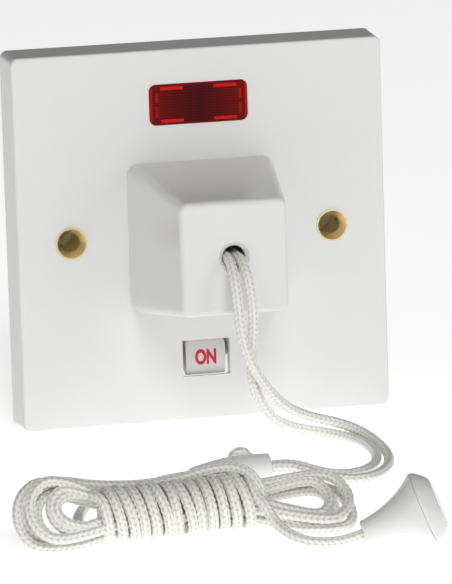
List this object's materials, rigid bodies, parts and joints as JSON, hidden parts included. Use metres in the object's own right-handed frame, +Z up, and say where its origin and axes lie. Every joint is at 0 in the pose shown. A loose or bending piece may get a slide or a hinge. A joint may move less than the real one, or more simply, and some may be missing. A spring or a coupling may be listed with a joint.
{
  "type": "pull cord switch",
  "caption": "Square wall or ceiling switch with a tapered boss, neon lens, flag window and a doubled pull cord that runs through a connector and a tied hank to an acorn pull.",
  "frame": {"origin": "bottom centre of the switch without its cord, on the surface that the plate stands on; the plate's front face lies in Y = 0", "axes": "+X across the plate, -Y out of its front, +Z up the plate"},
  "size_m": [0.1098, 0.1723, 0.086],
  "materials": {
    "white_urea": "moulded urea formaldehyde, satin gloss",
    "brass": "turned brass, lightly polished",
    "red_lens": "clear red polycarbonate with moulded ribs",
    "white_nylon": "natural white nylon",
    "flag_white": "white, printed face",
    "lamp_glass": "clear glass",
    "nickel": "nickel wire",
    "resistor_enamel": "enamelled body",
    "lead_sleeving": "heat resisting sleeving",
    "grey_moulding": "thermoset moulding, satin",
    "zinc_steel": "zinc plated",
    "spring_steel": "drawn wire",
    "copper": "rolled copper strip",
    "silver": "silver contact face",
    "cord_braid": "braided nylon",
    "milky_plastic": "polished milky plastic"
  },
  "bodies": {
    "housing": {"cover_screws": "zinc_steel", "earth_screw": "brass", "earth_terminal": "brass", "faceplate": "white_urea", "fixed_contact_left": "silver", "fixed_contact_right": "silver", "fixing_eyelet_left": "brass", "fixing_eyelet_right": "brass", "flag_spindle": "zinc_steel", "lamp_holder": "white_nylon", "lamp_lead_left": "lead_sleeving", "lamp_lead_right": "lead_sleeving", "lamp_resistor": "resistor_enamel", "mechanism_body": "grey_moulding", "mechanism_screws": "zinc_steel", "neon_electrodes": "nickel", "neon_lamp": "lamp_glass", "neon_lens": "red_lens", "pull_guide": "white_nylon", "rear_cover": "grey_moulding", "return_spring": "spring_steel", "rocker_pin_left": "zinc_steel", "rocker_pin_right": "zinc_steel", "terminal_line_in": "brass", "terminal_line_out": "brass", "terminal_neutral_in": "brass", "terminal_neutral_out": "brass", "terminal_screws": "brass"},
    "pull": {"pull_slider": "white_nylon", "pecker_pin": "zinc_steel", "cord_knot": "cord_braid", "cord_strand_front": "cord_braid", "cord_strand_rear": "cord_braid", "connector_narrow_half": "milky_plastic", "connector_wide_half": "milky_plastic", "connector_knots": "cord_braid", "connector_loop": "cord_braid", "cord_to_hank": "cord_braid", "cord_hank": "cord_braid", "cord_to_pull": "cord_braid", "acorn_bell": "milky_plastic", "acorn_cap": "milky_plastic", "acorn_knot": "cord_braid"},
    "pecker": {"pecker": "white_nylon"},
    "rocker": {"rocker": "white_nylon", "contact_plunger_left": "zinc_steel", "contact_plunger_right": "zinc_steel", "plunger_spring_left": "spring_steel", "plunger_spring_right": "spring_steel"},
    "blade_left": {"contact_blade_left": "copper", "moving_contact_left": "silver"},
    "blade_right": {"contact_blade_right": "copper", "moving_contact_right": "silver"},
    "flag": {"flag": "flag_white"}
  },
  "joints": [
    {"name": "pull_slide", "type": "slide", "parent": "housing", "child": "pull", "axis": [0, -1, 0], "range_m": [0, 0.007], "stiffness_N_per_m": 813, "springref_m": -0.008, "deforming": ["return_spring"]},
    {"name": "pecker_swing", "type": "hinge", "parent": "pull", "child": "pecker", "pos_m": [0, 0.001, 0.043], "axis": [1, 0, 0], "range_deg": [-9, 9]},
    {"name": "rocker_toggle", "type": "hinge", "parent": "housing", "child": "rocker", "pos_m": [0, 0.0115, 0.043], "axis": [1, 0, 0], "range_deg": [-24, 0]},
    {"name": "blade_left_tilt", "type": "hinge", "parent": "housing", "child": "blade_left", "pos_m": [-0.013, 0.02245, 0.043], "axis": [1, 0, 0], "range_deg": [0, 16]},
    {"name": "blade_right_tilt", "type": "hinge", "parent": "housing", "child": "blade_right", "pos_m": [0.013, 0.02245, 0.043], "axis": [1, 0, 0], "range_deg": [0, 16]},
    {"name": "flag_turn", "type": "hinge", "parent": "housing", "child": "flag", "pos_m": [0, 0.0127, 0.0147], "axis": [1, 0, 0], "range_deg": [0, 42.05]}
  ],
  "couplings": [
    {"joint": "blade_left_tilt", "follows": "rocker_toggle", "ratio": -0.6666},
    {"joint": "blade_right_tilt", "follows": "rocker_toggle", "ratio": -0.6666},
    {"joint": "flag_turn", "follows": "rocker_toggle", "ratio": -1.75}
  ]
}
